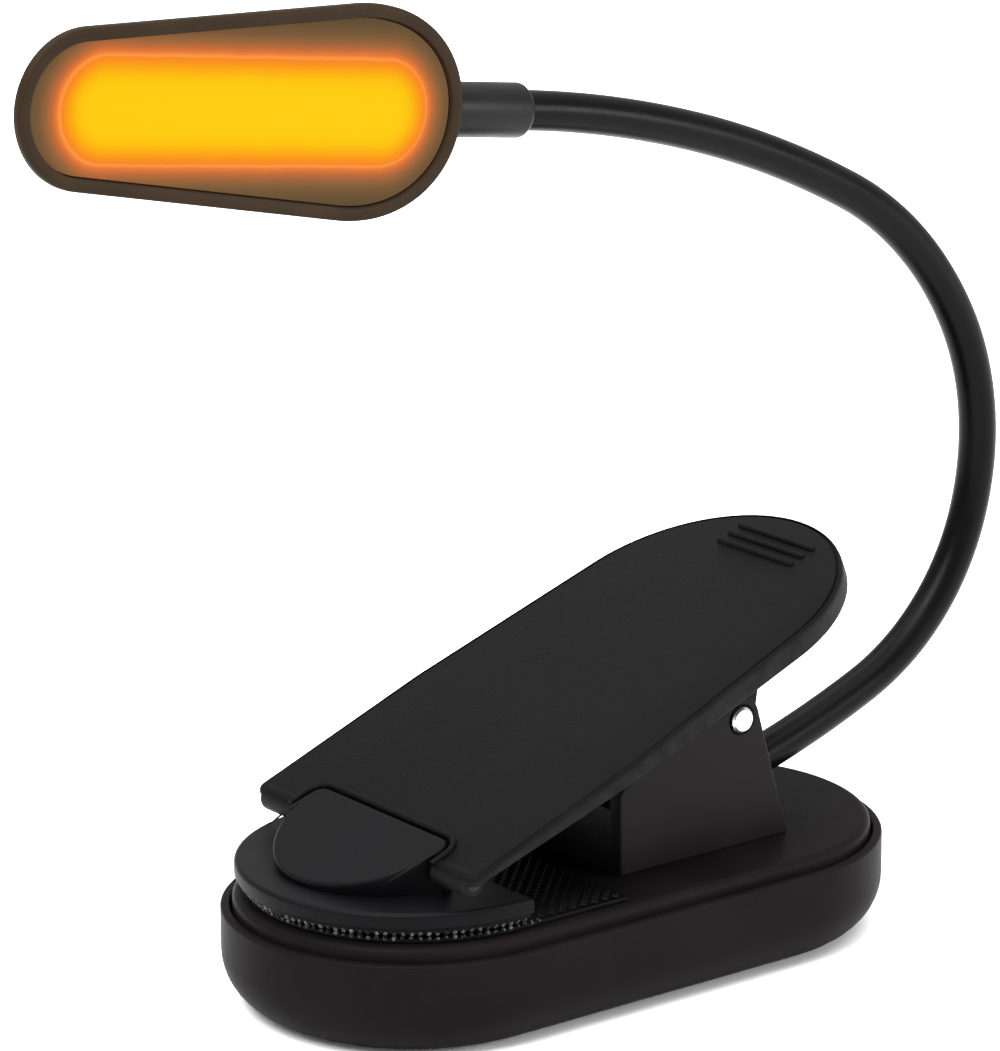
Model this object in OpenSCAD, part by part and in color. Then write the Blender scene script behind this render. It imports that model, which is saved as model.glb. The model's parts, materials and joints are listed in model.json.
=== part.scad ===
// Clip-on reading lamp: a base with a spring clip, a gooseneck and a flat lamp head.
// Millimetres, +Z up. The origin is the centre of the base's underside. +X runs from
// the clip's jaw to the gooseneck, and the lamp is symmetrical about the XZ plane.

/* [Base] */
// Length of the base
base_l = 84; // [83:0.5:86]
// Width of the base
base_w = 44; // [43.5:0.5:45]
// Height of the housing's rim
rim_h = 11.5; // [11.2:0.1:11.8]
// Height of the cover's top face
cover_h = 13.1; // [13:0.1:13.2]
// Rounding of the housing's bottom edge
bottom_r = 6.4; // [6.2:0.1:7]
// Inset of the cover's edge from the outside of the housing
cover_inset = 1.36; // [1.3:0.02:1.5]

/* [Clip] */
// Pitch of the lever's top face at rest, in degrees
lever_pitch = 21.2; // [21:0.1:21.5]
// Height of the lever's top face over the origin
lever_z = 31.5; // [31.4:0.1:31.7]
// Half width of the lever at its jaw end
lever_half_w = 20.5; // [20.2:0.1:20.8]
// Radius of the lever's thumb end
thumb_r = 18.7; // [18:0.1:19]
// Distance of the pivot pin behind the middle of the base
pin_x = 17.1; // [16.9:0.1:17.3]
// Height of the pivot pin over the base's underside
pin_z = 28.1; // [27.9:0.1:28.3]
// Diameter of the pivot pin
pin_d = 3; // [2.8:0.1:3.1]
// Radius of the jaw's half-disc
jaw_r = 20.2; // [20:0.1:20.4]

/* [Gooseneck] */
// Outer diameter of the sleeve
neck_d = 4.5; // [4.4:0.1:4.6]
// Length of each of the six stretches along its centre line
stretch_l = 25.1; // [24.8:0.1:25.4]
// Direction in which the neck leaves the bracket, above +X, in degrees
first_heading = 12; // [11:0.5:13]

/* [Head] */
// Diameter of the collar
collar_d = 6.1; // [5.9:0.1:6.3]
// Radius of the head's far end
tip_r = 8.6; // [8.4:0.1:8.7]
// Largest half height of the head
wide_r = 11.7; // [11.5:0.1:11.9]
// Width of the rim round the lit face
rim_w = 1.5; // [1.4:0.1:1.6]

/* [Hidden] */
$fn = 64;
hull_steps = 14;
eps = 0.01;

// Colours
plastic = "#2e2c2b";
lever_plastic = "#282729";
rubber = "#1d1d1d";
steel = "#c9cbcd";
board_green = "#1d5a3a";

// Base: walls, and the ledge that the cover sits on
wall = 2.2;
floor_t = 1.8;
rim_t = 1.1;
ledge_z = 9.7;
rim_round = 0.3;
inner_r = 3.7;
cover_round = 1;
cover_wall = 1.8;
roof_z = 11.5;

// Base screws: M2, driven up through posts on the floor into bosses under the cover
post_at = [[-30.5, -8.5], [-30.5, 8.5], [30.5, -8.5], [30.5, 8.5]];
post_d = 5;
post_top = 6;
screw_d = 2;
screw_hole_d = 2.4;
pilot_d = 2.1;
head_d = 3.8;
head_hole_d = 4.4;
head_t = 1.3;
head_seat_z = 2.1;
screw_top = 10.4;

// Electronics
board_z = 4;
board_t = 1;
board_top = board_z + board_t;
usb_w = 8.94;
usb_h = 3.16;
usb_l = 7.3;
usb_front = 41;
usb_z = board_top + usb_h / 2;
usb_gap = 0.3;
cell = [35, 25, 5];
cell_at = [-27.5, -12.5, 2];

// Power button on the +Y side, and the switch behind it
button_x = 14;
button_z = 6.7;
button_w = 8;
button_h = 3.2;
button_gap = 0.25;
button_out = 0.6;
button_flange = 0.8;
stem_tip_y = 17.05;
switch_face_y = 16;
plunger_l = 0.6;

// Pivot bracket: a box of two side plates, a front wall and a leaning rear wall
pin_at = [pin_x, pin_z];
ear_y = 12.3;
ear_t = 2;
bracket_front = -0.5;
bracket_rear = 24;
bracket_corner_r = 1.6;
bracket_corner = [bracket_front + bracket_corner_r, 22.1];
bracket_boss_r = 2.6;
bracket_floor_t = 1.2;
bracket_wall_t = 1.8;
bracket_wall_top = 20.5;
saddle_w = 9;
saddle_front = 17.3;
saddle_top = 19.5;
bracket_screw_at = [[4.5, -7.2], [4.5, 7.2], [13, -7.2], [13, 7.2]];
bracket_boss_h = 5.5;
lead_hole_d = 3.4;
lead_x = 15.6;

// Lever, in its own frame: x along its length from the jaw to the thumb end, z out
// of its top face
plate_t = 1.5;
skirt_t = 1.6;
skirt_fork = [-30.4, 1.1];
skirt_knee = [-6, 2.2];
skirt_rear = [20, 2.9];
straight_to = -5;
thumb_at = [20.1, 0];
fork_end = -30.4;
notch_end = -25.4;
notch_half_w = 12.9;
notch_corner_r = 2.2;
lip_w = 0.75;
lip_h = 0.45;
lug_t = 6.4;
lug_r = 1.5;
jaw_pin_at = [-28.8, -1.4];
jaw_pin_d = 1.4;
lever_ear_y = 10;
lever_ear_t = 2;
lever_boss_r = 4;
ear_root = [5, 24];
rib_y = 6.5;
rib_t = 1.2;
ridge_x = [31.4, 33.1, 34.8];
ridge_w = 0.8;
ridge_h = 0.35;
ridge_l = 13.6;

// Jaw: a half-disc on the mat and a boss that fills the lever's notch
mat_t = 0.9;
mat_half_w = 19.1;
mat_end = -5;
mat_centre = -20;
jaw_x = -20.2;
jaw_cut = -18.8;
grip_gap = 0.1;
grip_t = 1.1;
grip_inset = 0.6;
grip_z = cover_h + mat_t + grip_gap;
disc_z = grip_z + grip_t;
disc_t = 1.7;
boss_r = 12.35;
boss_x = -26.9;
boss_gap = 0.35;
boss_rise = 0.4;
boss_cap_t = 1.4;
boss_relief = 1.2;

// Torsion spring round the pivot pin
wire_r = 0.55;
coil_r = 3.4;
coil_turns = 5;
coil_pitch = 1.4;
upper_leg_at = 128;
upper_leg_l = 14;
lower_leg_at = 210;
lower_leg_l = 7.1;
coil_steps = 100;
wire_sides = 8;

// Gooseneck: where it leaves the bracket, how far each stretch turns in degrees from
// the base to the head, its balls and its bores
neck_start = [22, 16];
turns = [11, 50, 44, 34, 11, 10];
root_l = 2.5;
sleeve_bore_r = 1.8;
core_r = 1.5;
core_bore_r = 0.8;
ball_r = 1.7;
ball_gap = 0.4;
sleeve_gap = 0.6;
neck_wire_r = 0.3;
neck_wire_y = 0.36;
anchor_r = 2;
anchor_l = 3;
collar_grip = 3;
sleeve_step = 0.05;
sleeve_step_l = 0.3;

// Head, in its own frame: -x towards its tip, -y out of its lit face
tip_x = -58.9;
wide_x = -24.3;
near_reach = 13.6;
near_power = 2.1;
face_y = -3.6;
bezel_back_y = -2.4;
back_y = 3.9;
shell_inset = 0.9;
back_inset = 4.9;
shell_wall = 0.8;
cover_y = -3.1;
cover_t = 0.7;
cover_gap = 0.05;
window_l = 47;
window_w = 11.6;
window_x = -38.9;
guide_y = -2.3;
guide_t = 0.6;
reflector_t = 0.3;
led_y = -0.9;
led = [2.8, 0.8, 3.5];
led_count = 10;
led_pitch = 4.3;
led_board = [43.6, 0.8, 7.6];
collar_end = -10.75;
spigot_end = -14;
spigot_r = 2;
socket_r = 3.4;
socket_end = -16.5;
socket_step = [-14.3, -1.2];

// ---- Outlines ----------------------------------------------------------------

// A stadium of length l along x and width w
module pill2d(l, w) {
    square([l - w, w], center = true);
    for (side = [-1, 1]) translate([side * (l - w) / 2, 0]) circle(d = w);
}

function on_circle(c, r, a) = c + r * [cos(a), sin(a)];

// Where the tangent from point p touches a circle, on its left (side 1) or right (-1)
function tangent_point(p, c, r, side) =
    let (d = c - p, l = norm(d), a = atan2(d.y, d.x) + side * asin(r / l))
    p + sqrt(l * l - r * r) * [cos(a), sin(a)];

// Two circles with the outer tangents between them
module belt2d(c1, r1, c2, r2) {
    d = c2 - c1;
    a = atan2(d.y, d.x);
    b = acos((r1 - r2) / norm(d));
    translate(c1) circle(r1);
    translate(c2) circle(r2);
    polygon([
        on_circle(c1, r1, a + b), on_circle(c1, r1, a - b),
        on_circle(c2, r2, a - b), on_circle(c2, r2, a + b)
    ]);
}

// What is left outside a quarter circle at a lower right corner
module corner_cut(r) {
    difference() {
        translate([-r, -1]) square([r + 1, r + 1]);
        translate([-r, r]) circle(r);
    }
}

// Half of a pill's cross-section, with its outer corners rounded
module half_section(half_w, h, r_low, r_top) {
    difference() {
        square([half_w, h]);
        if (r_low > 0) translate([half_w, 0]) corner_cut(r_low);
        if (r_top > 0) translate([half_w, h]) mirror([0, 1]) corner_cut(r_top);
    }
}

// A stadium-shaped block whose lower and upper edges are rounded
module pill_solid(l, w, h, r_low = 0, r_top = 0) {
    run = l - w;
    for (end = [0, 1])
        rotate([0, 0, 180 * end]) translate([run / 2, 0, 0]) rotate([0, 0, -90])
            rotate_extrude(angle = 180) half_section(w / 2, h, r_low, r_top);
    translate([-run / 2, 0, 0]) rotate([90, 0, 90]) linear_extrude(run)
        for (side = [0, 1]) mirror([side, 0]) half_section(w / 2, h, r_low, r_top);
}

// A profile drawn in x and z, given thickness t along y from y0
module side_plate(y0, t) {
    translate([0, y0 + t, 0]) rotate([90, 0, 0]) linear_extrude(t) children();
}

// ---- Base --------------------------------------------------------------------

module housing_shell() {
    difference() {
        pill_solid(base_l, base_w, rim_h, bottom_r, rim_round);
        translate([0, 0, floor_t])
            pill_solid(base_l - 2 * wall, base_w - 2 * wall, rim_h, inner_r);
        translate([0, 0, ledge_z])
            linear_extrude(rim_h) pill2d(base_l - 2 * rim_t, base_w - 2 * rim_t);
    }
}

module board_rests() {
    for (at = [[12.5, -11], [12.5, 11], [25, -11], [25, 11], [36, -4], [36, 4]])
        translate([at.x, at.y, 1]) cylinder(h = board_z - 1, d = 2.5);
}

module base_housing() {
    color(plastic) difference() {
        union() {
            housing_shell();
            board_rests();
            for (at = post_at)
                translate([at.x, at.y, 1]) cylinder(h = post_top - 1, d = post_d);
        }
        for (at = post_at) translate([at.x, at.y, -1]) {
            cylinder(h = head_seat_z + 1, d = head_hole_d);
            cylinder(h = post_top + 2, d = screw_hole_d);
        }
        translate([usb_front - usb_l, 0, usb_z]) rotate([90, 0, 90])
            linear_extrude(12) pill2d(usb_w + 2 * usb_gap, usb_h + 2 * usb_gap);
        side_plate(base_w / 2 - 4, 6) translate([button_x, button_z])
            pill2d(button_w + 2 * button_gap, button_h + 2 * button_gap);
    }
}

module base_cover() {
    cover_l = base_l - 2 * cover_inset;
    cover_w = base_w - 2 * cover_inset;
    color(plastic) difference() {
        union() {
            difference() {
                translate([0, 0, ledge_z])
                    pill_solid(cover_l, cover_w, cover_h - ledge_z, 0, cover_round);
                translate([0, 0, ledge_z - 1]) linear_extrude(roof_z - ledge_z + 1)
                    pill2d(cover_l - 2 * cover_wall, cover_w - 2 * cover_wall);
            }
            for (at = post_at) translate([at.x, at.y, post_top])
                cylinder(h = roof_z - post_top + eps, d = post_d);
        }
        for (at = post_at) translate([at.x, at.y, post_top - 1])
            cylinder(h = roof_z - post_top + 0.6, d = pilot_d);
        for (at = bracket_screw_at) translate([at.x, at.y, ledge_z])
            cylinder(h = cover_h, d = screw_hole_d);
        translate([lead_x, 0, ledge_z]) cylinder(h = cover_h, d = lead_hole_d);
    }
}

// An M2 screw standing on its head, with a cross recess
module screw(length) {
    difference() {
        cylinder(h = head_t, d = head_d);
        for (turn = [0, 90]) rotate([0, 0, turn])
            translate([-1.1, -0.25, -eps]) cube([2.2, 0.5, 0.7]);
    }
    translate([0, 0, head_t - eps]) cylinder(h = length + eps, d = screw_d);
}

module base_screws() {
    color(steel) for (at = post_at)
        translate([at.x, at.y, head_seat_z - head_t]) screw(screw_top - head_seat_z);
}

module lower_grip_mat() {
    color(rubber) translate([0, 0, cover_h]) linear_extrude(mat_t) {
        translate([mat_centre, 0]) circle(mat_half_w);
        translate([mat_centre, -mat_half_w])
            square([mat_end - mat_centre, 2 * mat_half_w]);
    }
}

module battery_cell() {
    color("#8fa3b5") translate(cell_at) cube(cell);
}

module main_pcb() {
    color(board_green) translate([0, 0, board_z]) linear_extrude(board_t) {
        translate([10.5, -13]) square([16.5, 26]);
        translate([10.5, 13]) square([7.5, 3.5]);
        translate([27, -5.8]) square([11.3, 11.6]);
    }
}

module usb_c_socket() {
    color(steel) translate([usb_front - usb_l, 0, usb_z]) rotate([90, 0, 90])
        difference() {
            linear_extrude(usb_l) pill2d(usb_w, usb_h);
            translate([0, 0, 1]) linear_extrude(usb_l)
                pill2d(usb_w - 0.6, usb_h - 0.6);
        }
    color("#111111") translate([usb_front - usb_l + 1, -3.35, usb_z - 0.35])
        cube([5.2, 6.7, 0.7]);
}

module power_switch() {
    color("#3a3a3a") {
        translate([button_x - 3, switch_face_y - 3.4, board_top]) cube([6, 3.4, 3.4]);
        translate([button_x, switch_face_y - eps, button_z]) rotate([-90, 0, 0])
            cylinder(h = plunger_l + eps, d = 1.6);
    }
}

module power_button() {
    inner_y = base_w / 2 - wall - 0.2;
    color(lever_plastic) {
        side_plate(inner_y - eps, base_w / 2 + button_out - inner_y)
            translate([button_x, button_z]) pill2d(button_w, button_h);
        side_plate(inner_y - button_flange, button_flange)
            translate([button_x, button_z]) pill2d(button_w + 1.6, button_h + 1.6);
        translate([button_x, stem_tip_y, button_z]) rotate([-90, 0, 0])
            cylinder(h = inner_y - stem_tip_y - eps, d = 2);
    }
}

module battery_leads() {
    color("firebrick") for (y = [-2, 2])
        translate([cell_at.x + cell.x, y, board_top + 0.5]) rotate([0, 90, 0])
            cylinder(h = 4.5, d = 1);
}

// ---- Clip --------------------------------------------------------------------

bracket_rear_tangent = tangent_point([bracket_rear, cover_h], pin_at, bracket_boss_r, -1);

function rear_x(z) =
    bracket_rear + (bracket_rear_tangent.x - bracket_rear)
    * (z - cover_h) / (bracket_rear_tangent.y - cover_h);

module bracket_side() {
    belt2d(bracket_corner, bracket_corner_r, pin_at, bracket_boss_r);
    polygon([
        [bracket_front, cover_h], [bracket_rear, cover_h], bracket_rear_tangent,
        pin_at, bracket_corner, [bracket_front, bracket_corner.y]
    ]);
}

// The line on which the neck lies where it leaves the bracket
module along_neck_root() {
    translate([neck_start.x, 0, neck_start.y]) rotate([0, 90 - first_heading, 0])
        children();
}

module pivot_bracket() {
    inner_y = ear_y - ear_t;
    color(plastic) difference() {
        union() {
            for (y0 = [-ear_y, inner_y]) side_plate(y0, ear_t) bracket_side();
            translate([bracket_front, -inner_y, cover_h])
                cube([bracket_wall_t, 2 * inner_y, bracket_wall_top - cover_h]);
            side_plate(-inner_y, 2 * inner_y) polygon([
                [bracket_rear, cover_h], [rear_x(bracket_wall_top), bracket_wall_top],
                [rear_x(bracket_wall_top) - bracket_wall_t, bracket_wall_top],
                [bracket_rear - bracket_wall_t, cover_h]
            ]);
            translate([bracket_front + 1, -inner_y, cover_h])
                cube([saddle_front - bracket_front - 1, 2 * inner_y, bracket_floor_t]);
            side_plate(-saddle_w / 2, saddle_w) polygon([
                [saddle_front, cover_h], [saddle_front, saddle_top],
                [rear_x(saddle_top) - 1, saddle_top], [bracket_rear - 1, cover_h]
            ]);
            for (at = bracket_screw_at) translate([at.x, at.y, cover_h])
                cylinder(h = bracket_boss_h, d = post_d);
        }
        for (at = bracket_screw_at) translate([at.x, at.y, cover_h - 1])
            cylinder(h = bracket_boss_h, d = pilot_d);
        side_plate(-ear_y - 1, 2 * ear_y + 2) translate(pin_at) circle(pin_d / 2 + 0.02);
        along_neck_root() translate([0, 0, -10]) cylinder(h = 20, r = anchor_r + 0.05);
        translate([lead_x, 0, cover_h - 1]) cylinder(h = 4, d = lead_hole_d);
    }
}

module bracket_screws() {
    color(steel) for (at = bracket_screw_at)
        translate([at.x, at.y, roof_z - head_t]) screw(6);
}

module pivot_pin() {
    tip = 0.4;
    half_l = ear_y + 0.5;
    color(steel) translate([pin_at.x, 0, pin_at.y]) rotate([90, 0, 0]) {
        translate([0, 0, -half_l + tip]) cylinder(h = 2 * (half_l - tip), d = pin_d);
        for (side = [0, 1]) mirror([0, 0, side]) translate([0, 0, half_l - tip - eps])
            cylinder(h = tip, r1 = pin_d / 2, r2 = pin_d / 2 - tip);
    }
}

// A ring of the spring's wire, centred at c, whose plane holds the y axis and radial u
function wire_ring(c, u) = [
    for (k = [0 : wire_sides - 1])
        let (a = 360 * k / wire_sides)
        c + wire_r * (cos(a) * u + sin(a) * [0, 1, 0])
];

function coil_point(a, y) =
    [pin_at.x + coil_r * cos(a), y, pin_at.y + coil_r * sin(a)];

module torsion_spring() {
    sweep = 360 * coil_turns + lower_leg_at - upper_leg_at;
    half_w = coil_pitch * sweep / 720;
    upper_u = [cos(upper_leg_at), 0, sin(upper_leg_at)];
    lower_u = [cos(lower_leg_at), 0, sin(lower_leg_at)];
    upper_tip = coil_point(upper_leg_at, -half_w)
        + upper_leg_l * [upper_u.z, 0, -upper_u.x];
    lower_tip = coil_point(lower_leg_at, half_w)
        + lower_leg_l * [-lower_u.z, 0, lower_u.x];
    coil = [
        for (k = [0 : coil_steps])
            let (a = upper_leg_at + sweep * k / coil_steps)
            wire_ring(
                coil_point(a, half_w * (2 * k / coil_steps - 1)), [cos(a), 0, sin(a)]
            )
    ];
    rings = concat([wire_ring(upper_tip, upper_u)], coil, [wire_ring(lower_tip, lower_u)]);
    last = len(rings) - 1;
    n = wire_sides;
    color(steel) polyhedron(
        points = [for (ring = rings) each ring],
        faces = concat(
            [[for (k = [0 : n - 1]) k]],
            [for (j = [0 : last - 1], k = [0 : n - 1])
                [j * n + k, (j + 1) * n + k, (j + 1) * n + (k + 1) % n, j * n + (k + 1) % n]],
            [[for (k = [n - 1 : -1 : 0]) last * n + k]]
        )
    );
}

module in_lever_frame() {
    translate([0, 0, lever_z]) rotate([0, -lever_pitch, 0]) children();
}

// A point given along X and Z, in the lever's own x and z
function to_lever(p) =
    let (z = p.y - lever_z)
    [p.x * cos(lever_pitch) + z * sin(lever_pitch),
     z * cos(lever_pitch) - p.x * sin(lever_pitch)];

lever_pin_at = to_lever(pin_at);

// Plan of the lever without its notch, drawn in by inset
module lever_outline(inset) {
    half_w = lever_half_w - inset;
    r = thumb_r - inset;
    touch = tangent_point([straight_to, half_w], thumb_at, r, 1);
    translate(thumb_at) circle(r);
    polygon([
        [fork_end + inset, half_w], [fork_end + inset, -half_w],
        [straight_to, -half_w], [touch.x, -touch.y], thumb_at,
        touch, [straight_to, half_w]
    ]);
}

// The notch between the fork's prongs, drawn in by inset
module notch_outline(inset = 0) {
    half_w = notch_half_w - inset;
    reach = notch_half_w - notch_corner_r;
    centre_x = notch_end - notch_corner_r;
    translate([centre_x - 20, -half_w]) square([20, 2 * half_w]);
    translate([centre_x - 20, -reach])
        square([20 + notch_corner_r - inset, 2 * reach]);
    for (y = [-reach, reach]) translate([centre_x, y]) circle(notch_corner_r - inset);
}

// The lever's skirt grows deeper from the fork to the thumb end
module lever_side() {
    polygon([
        [skirt_fork.x - 1, 0], [skirt_fork.x - 1, -skirt_fork.y],
        [skirt_knee.x, -skirt_knee.y], [skirt_rear.x, -skirt_rear.y],
        [40, -skirt_rear.y], [40, 0]
    ]);
}

module lever_ear() {
    rear = on_circle(lever_pin_at, lever_boss_r, -20);
    front = on_circle(lever_pin_at, lever_boss_r, 160);
    difference() {
        union() {
            translate(lever_pin_at) circle(lever_boss_r);
            polygon([[ear_root[0], -1], front, rear, [ear_root[1], -1]]);
        }
        translate(lever_pin_at) circle(pin_d / 2 + 0.05);
    }
}

module fork_lug() {
    translate(jaw_pin_at) circle(lug_r);
    translate([jaw_pin_at.x - lug_r, jaw_pin_at.y])
        square([2 * lug_r, -jaw_pin_at.y - 0.3]);
}

// A raised lip round the notch
module notch_lip() {
    translate([0, 0, -eps]) linear_extrude(lip_h + eps) intersection() {
        difference() {
            notch_outline(-lip_w);
            notch_outline();
        }
        lever_outline(0.3);
    }
}

// The top plate with its skirt and its two ribs, hollow underneath
module lever_plate() {
    difference() {
        intersection() {
            translate([0, 0, -skirt_rear.y]) linear_extrude(skirt_rear.y) lever_outline(0);
            side_plate(-30, 60) lever_side();
        }
        translate([0, 0, -skirt_rear.y - 1]) linear_extrude(skirt_rear.y + 1 - plate_t)
            difference() {
                lever_outline(skirt_t);
                for (y = [-rib_y, rib_y]) translate([-30, y - rib_t / 2])
                    square([60, rib_t]);
            }
        translate([0, 0, -skirt_rear.y - 1]) linear_extrude(skirt_rear.y + 2) notch_outline();
    }
}

module clip_lever() {
    color(lever_plastic) in_lever_frame() difference() {
        union() {
            lever_plate();
            notch_lip();
            for (side = [0, 1]) mirror([0, side, 0]) {
                side_plate(lever_ear_y - lever_ear_t, lever_ear_t) lever_ear();
                side_plate(notch_half_w, lug_t) fork_lug();
            }
            for (x = ridge_x) translate([x - ridge_w / 2, -ridge_l / 2, -eps])
                cube([ridge_w, ridge_l, ridge_h + eps]);
        }
        side_plate(-notch_half_w - lug_t, 2 * (notch_half_w + lug_t))
            translate(jaw_pin_at) circle(jaw_pin_d / 2 + 0.01);
    }
}

module jaw_pin() {
    color(steel) in_lever_frame() side_plate(-notch_half_w - lug_t, 2 * (notch_half_w + lug_t))
        translate(jaw_pin_at) circle(jaw_pin_d / 2);
}

module half_disc(r) {
    intersection() {
        translate([jaw_x, 0]) circle(r);
        translate([jaw_cut - 2 * r, -r]) square([2 * r, 2 * r]);
    }
}

// The boss fills the notch; its foot stands back from the notch's end by relief, so
// that the lever can tip about the jaw pin
module boss_outline(relief) {
    intersection() {
        translate([boss_x, 0]) circle(boss_r);
        translate([-relief, 0]) notch_outline(boss_gap);
    }
}

module jaw_pad() {
    top_z = disc_z + disc_t;
    color(plastic) difference() {
        union() {
            translate([0, 0, disc_z]) linear_extrude(disc_t) half_disc(jaw_r);
            intersection() {
                in_lever_frame() {
                    translate([0, 0, boss_rise - boss_cap_t])
                        linear_extrude(boss_cap_t) boss_outline(0);
                    translate([0, 0, -12]) linear_extrude(12 + boss_rise - boss_cap_t + eps)
                        boss_outline(boss_relief);
                }
                translate([-50, -20, top_z - 0.3]) cube([60, 40, 20]);
            }
        }
        in_lever_frame() side_plate(-20, 40) translate(jaw_pin_at)
            circle(jaw_pin_d / 2 + 0.05);
    }
}

module upper_grip_pad() {
    color(rubber) translate([0, 0, grip_z]) linear_extrude(grip_t) half_disc(jaw_r - grip_inset);
}

// ---- Gooseneck ---------------------------------------------------------------

function heading(i) = i == 0 ? first_heading : heading(i - 1) + turns[i - 1];

function bend_r(i) = stretch_l / (turns[i] * PI / 180);

function stretch_end(i) =
    let (a = heading(i), b = a + turns[i])
    stretch_start(i) + bend_r(i) * [sin(b) - sin(a), cos(a) - cos(b)];

function stretch_start(i) = i == 0 ? neck_start : stretch_end(i - 1);

// The point at distance s along stretch i
function neck_point(i, s) =
    let (a = heading(i), b = a + turns[i] * s / stretch_l)
    stretch_start(i) + bend_r(i) * [sin(b) - sin(a), cos(a) - cos(b)];

// Its children's profile, carried along stretch i from s0 to s1
module along_stretch(i, s0, s1) {
    c = stretch_start(i) + bend_r(i) * [-sin(heading(i)), cos(heading(i))];
    per_mm = turns[i] / stretch_l;
    translate([c.x, 0, c.y]) rotate([90, 0, 0])
        rotate([0, 0, heading(i) - 90 + s0 * per_mm])
            rotate_extrude(angle = (s1 - s0) * per_mm) translate([bend_r(i), 0]) children();
}

module ball_at(p) {
    translate([p.x, 0, p.y]) sphere(ball_r);
}

module ring2d(r_out, r_in) {
    difference() {
        circle(r_out);
        circle(r_in);
    }
}

function pivot_s(i) = i == 0 ? root_l : 0;

module neck_anchor() {
    root = neck_point(0, root_l);
    color(steel) difference() {
        union() {
            along_neck_root() {
                translate([0, 0, -anchor_l]) cylinder(h = anchor_l + 1, r = anchor_r);
                cylinder(h = root_l, r = core_r - 0.3);
            }
            ball_at(root);
        }
        along_neck_root() translate([0, 0, -anchor_l - 1])
            cylinder(h = anchor_l + root_l + 4, r = core_bore_r);
    }
}

module lamp_leads() {
    run = (neck_start.x - lead_x) / cos(first_heading);
    low_z = neck_start.y - run * sin(first_heading);
    color("firebrick") for (y = [-neck_wire_y, neck_wire_y]) {
        translate([lead_x, y, board_top])
            cylinder(h = low_z + neck_wire_r - board_top, r = neck_wire_r);
        translate([0, y, 0]) along_neck_root() translate([0, 0, -run])
            cylinder(h = run - 1, r = neck_wire_r);
    }
}

module neck_sleeve(i) {
    s1 = i == 5 ? stretch_l : stretch_l - sleeve_gap;
    color(rubber) {
        along_stretch(i, pivot_s(i) + sleeve_gap + (i == 0 ? 0.6 : 0), s1)
            ring2d(neck_d / 2, sleeve_bore_r);
        if (i == 5) in_head_frame() rotate([0, -90, 0]) translate([0, 0, -sleeve_step_l])
            linear_extrude(sleeve_step_l + collar_grip)
                ring2d(neck_d / 2 - sleeve_step, sleeve_bore_r + sleeve_step);
    }
}

module neck_core(i) {
    last = i == 5;
    color(steel) difference() {
        union() {
            along_stretch(i, pivot_s(i) + ball_r + ball_gap, last ? stretch_l : stretch_l - 1)
                circle(core_r);
            if (!last) {
                along_stretch(i, stretch_l - 1 - eps, stretch_l) circle(core_r - 0.3);
                ball_at(stretch_end(i));
            }
        }
        along_stretch(i, pivot_s(i), stretch_l + 3) circle(core_bore_r);
    }
}

module neck_wires(i) {
    color("firebrick") along_stretch(i, pivot_s(i) + ball_r + 1, stretch_l - ball_r - 1)
        for (y = [-neck_wire_y, neck_wire_y]) translate([0, y]) circle(neck_wire_r);
}

// ---- Head --------------------------------------------------------------------

module in_head_frame() {
    e = stretch_end(5);
    translate([e.x, 0, e.y]) rotate([0, 180 - heading(6), 0]) children();
}

function arc(c, r, a0, a1, steps) =
    [for (k = [0 : steps]) on_circle(c, r, a0 + (a1 - a0) * k / steps)];

// A value raised to a power, with its sign kept
function signed_pow(v, p) = sign(v) * pow(abs(v), p);

// The head's outline, in x and z, drawn in by inset: a slightly squared ellipse at the
// neck, an arc at the tip and the tangents between them
module head_outline(inset, steps = 24) {
    lean = asin((wide_r - tip_r) / (wide_x - tip_x));
    turn = 90 + lean;
    polygon(concat(
        [for (k = [-steps : steps])
            let (a = turn * k / steps)
            [wide_x + (near_reach - inset) * signed_pow(cos(a), 2 / near_power),
             (wide_r - inset) * signed_pow(sin(a), 2 / near_power)]],
        arc([tip_x, 0], tip_r - inset, turn, 360 - turn, steps)
    ));
}

module head_collar() {
    r = collar_d / 2;
    bore = neck_d / 2 + 0.08;
    color(plastic) in_head_frame() rotate([0, -90, 0]) rotate_extrude() polygon([
        [bore, 0], [r - 0.6, 0], [r, 0.7], [r, -collar_end], [spigot_r, -collar_end],
        [spigot_r, -spigot_end], [core_bore_r, -spigot_end],
        [core_bore_r, collar_grip + 0.3], [bore, collar_grip + 0.3]
    ]);
}

module shell_block(front_inset, rear_inset, y0, y1) {
    thin = 0.02;
    hull() {
        side_plate(y0, thin) head_outline(front_inset, hull_steps);
        side_plate((y0 + y1) / 2, thin)
            head_outline(front_inset + (rear_inset - front_inset) * 0.42, hull_steps);
        side_plate(y1 - thin, thin) head_outline(rear_inset, hull_steps);
    }
}

module head_back_shell() {
    color(plastic) in_head_frame() difference() {
        union() {
            difference() {
                shell_block(shell_inset, back_inset, bezel_back_y, back_y);
                shell_block(shell_inset + shell_wall, back_inset + shell_wall,
                            bezel_back_y - 0.1, back_y - shell_wall);
            }
            intersection() {
                rotate([0, -90, 0]) translate([0, 0, -collar_end])
                    cylinder(h = collar_end - socket_end, r = socket_r);
                translate([0, 0, -5]) linear_extrude(10) polygon([
                    [0, bezel_back_y], [0, back_y], [socket_end - 1, back_y],
                    [socket_end - 1, socket_step.y], socket_step,
                    [socket_step.x, bezel_back_y]
                ]);
            }
        }
        rotate([0, -90, 0]) cylinder(h = 20, r = spigot_r + 0.03);
    }
}

module head_bezel() {
    color(plastic) in_head_frame() {
        side_plate(face_y, bezel_back_y - face_y) difference() {
            head_outline(0);
            head_outline(rim_w);
        }
    }
}

module light_cover() {
    color("#6b5236") in_head_frame() side_plate(cover_y, cover_t)
        head_outline(rim_w + cover_gap);
}

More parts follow.
